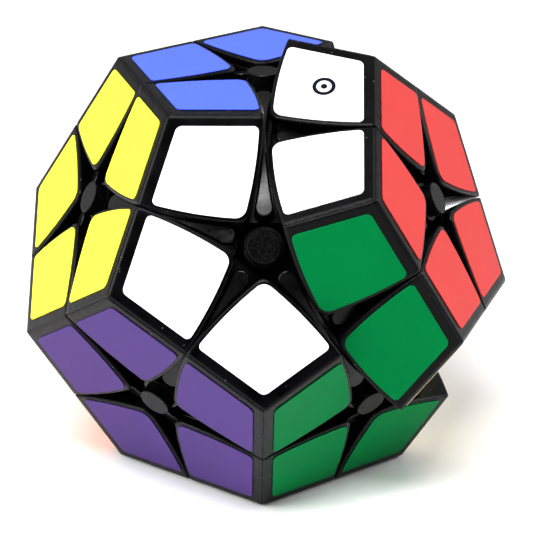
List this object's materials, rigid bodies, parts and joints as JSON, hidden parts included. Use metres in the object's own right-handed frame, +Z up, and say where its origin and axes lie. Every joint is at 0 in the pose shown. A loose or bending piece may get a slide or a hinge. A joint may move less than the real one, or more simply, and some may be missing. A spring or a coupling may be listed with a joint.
{
  "type": "dodecahedron twisty puzzle",
  "caption": "Twelve-sided black stickered puzzle whose layers turn about a sprung core; one layer is caught part way through a turn.",
  "frame": {"origin": "centre of the core, where all twelve turning axes meet", "axes": "+Z up out of the blue face, -Y out towards the white face, the puzzle rests on its light blue face"},
  "size_m": [0.0883, 0.0898, 0.0792],
  "materials": {
    "shell_plastic": "satin black moulded ABS with a fine grain",
    "cap_plastic": "black moulded cap, fine matte top, polished wall",
    "inner_plastic": "polished black mechanism plastic",
    "core_plastic": "black moulded core",
    "screw_steel": "zinc plated steel",
    "spring_steel": "spring steel wire",
    "sticker_white": "white vinyl sticker",
    "sticker_blue": "blue vinyl sticker",
    "sticker_yellow": "yellow vinyl sticker",
    "sticker_purple": "purple vinyl sticker",
    "sticker_green": "green vinyl sticker",
    "sticker_red": "red vinyl sticker",
    "sticker_light_blue": "light blue vinyl sticker",
    "sticker_pink": "pink vinyl sticker",
    "sticker_lime": "lime vinyl sticker",
    "sticker_orange": "orange vinyl sticker",
    "sticker_beige": "beige vinyl sticker",
    "sticker_gray": "gray vinyl sticker"
  },
  "bodies": {
    "root": {"core_upper": "core_plastic", "core_lower": "core_plastic", "screws": "screw_steel", "springs": "spring_steel", "corner_blue_pink_lime": "shell_plastic", "corner_light_blue_beige_green": "shell_plastic", "corner_light_blue_purple_orange": "shell_plastic", "corner_purple_green_white": "shell_plastic", "corner_purple_light_blue_green": "shell_plastic", "root_covers": "shell_plastic", "root_inner_edges": "inner_plastic", "root_stickers": "sticker_white"},
    "red_layer": {"hub_red": "inner_plastic", "cap_red": "cap_plastic", "corner_blue_red_pink": "shell_plastic", "corner_blue_white_red": "shell_plastic", "corner_green_beige_red": "shell_plastic", "corner_red_beige_pink": "shell_plastic", "corner_white_green_red": "shell_plastic", "red_covers": "shell_plastic", "red_inner_edges": "inner_plastic", "red_stickers": "sticker_red"},
    "yellow_layer": {"hub_yellow": "inner_plastic", "cap_yellow": "cap_plastic", "corner_blue_lime_yellow": "shell_plastic", "corner_blue_yellow_white": "shell_plastic", "corner_lime_orange_yellow": "shell_plastic", "corner_orange_purple_yellow": "shell_plastic", "corner_purple_white_yellow": "shell_plastic", "yellow_covers": "shell_plastic", "yellow_inner_edges": "inner_plastic", "yellow_stickers": "sticker_yellow"},
    "gray_layer": {"hub_gray": "inner_plastic", "cap_gray": "cap_plastic", "corner_beige_gray_pink": "shell_plastic", "corner_gray_orange_lime": "shell_plastic", "corner_light_blue_gray_beige": "shell_plastic", "corner_light_blue_orange_gray": "shell_plastic", "corner_pink_gray_lime": "shell_plastic", "gray_covers": "shell_plastic", "gray_inner_edges": "inner_plastic", "gray_stickers": "sticker_gray"},
    "blue_hub": {"hub_blue": "inner_plastic", "cap_blue": "cap_plastic"},
    "light_blue_hub": {"hub_light_blue": "inner_plastic", "cap_light_blue": "cap_plastic"},
    "white_hub": {"hub_white": "inner_plastic", "cap_white": "cap_plastic"},
    "green_hub": {"hub_green": "inner_plastic", "cap_green": "cap_plastic"},
    "beige_hub": {"hub_beige": "inner_plastic", "cap_beige": "cap_plastic"},
    "pink_hub": {"hub_pink": "inner_plastic", "cap_pink": "cap_plastic"},
    "lime_hub": {"hub_lime": "inner_plastic", "cap_lime": "cap_plastic"},
    "orange_hub": {"hub_orange": "inner_plastic", "cap_orange": "cap_plastic"},
    "purple_hub": {"hub_purple": "inner_plastic", "cap_purple": "cap_plastic"}
  },
  "joints": [
    {"name": "blue_hub_turn", "type": "hinge", "parent": "root", "child": "blue_hub", "pos_m": [0, 0, 0], "axis": [0, 0, 1], "continuous": true},
    {"name": "light_blue_hub_turn", "type": "hinge", "parent": "root", "child": "light_blue_hub", "pos_m": [0, 0, 0], "axis": [0, 0, -1], "continuous": true},
    {"name": "white_hub_turn", "type": "hinge", "parent": "root", "child": "white_hub", "pos_m": [0, 0, 0], "axis": [0, -0.8944, 0.4472], "continuous": true},
    {"name": "green_hub_turn", "type": "hinge", "parent": "root", "child": "green_hub", "pos_m": [0, 0, 0], "axis": [0.5257, -0.7236, -0.4472], "continuous": true},
    {"name": "red_layer_turn", "type": "hinge", "parent": "root", "child": "red_layer", "pos_m": [0, 0, 0], "axis": [0.8507, -0.2764, 0.4472], "continuous": true},
    {"name": "beige_hub_turn", "type": "hinge", "parent": "root", "child": "beige_hub", "pos_m": [0, 0, 0], "axis": [0.8507, 0.2764, -0.4472], "continuous": true},
    {"name": "pink_hub_turn", "type": "hinge", "parent": "root", "child": "pink_hub", "pos_m": [0, 0, 0], "axis": [0.5257, 0.7236, 0.4472], "continuous": true},
    {"name": "gray_layer_turn", "type": "hinge", "parent": "root", "child": "gray_layer", "pos_m": [0, 0, 0], "axis": [0, 0.8944, -0.4472], "continuous": true},
    {"name": "lime_hub_turn", "type": "hinge", "parent": "root", "child": "lime_hub", "pos_m": [0, 0, 0], "axis": [-0.5257, 0.7236, 0.4472], "continuous": true},
    {"name": "orange_hub_turn", "type": "hinge", "parent": "root", "child": "orange_hub", "pos_m": [0, 0, 0], "axis": [-0.8507, 0.2764, -0.4472], "continuous": true},
    {"name": "yellow_layer_turn", "type": "hinge", "parent": "root", "child": "yellow_layer", "pos_m": [0, 0, 0], "axis": [-0.8507, -0.2764, 0.4472], "continuous": true},
    {"name": "purple_hub_turn", "type": "hinge", "parent": "root", "child": "purple_hub", "pos_m": [0, 0, 0], "axis": [-0.5257, -0.7236, -0.4472], "continuous": true}
  ]
}
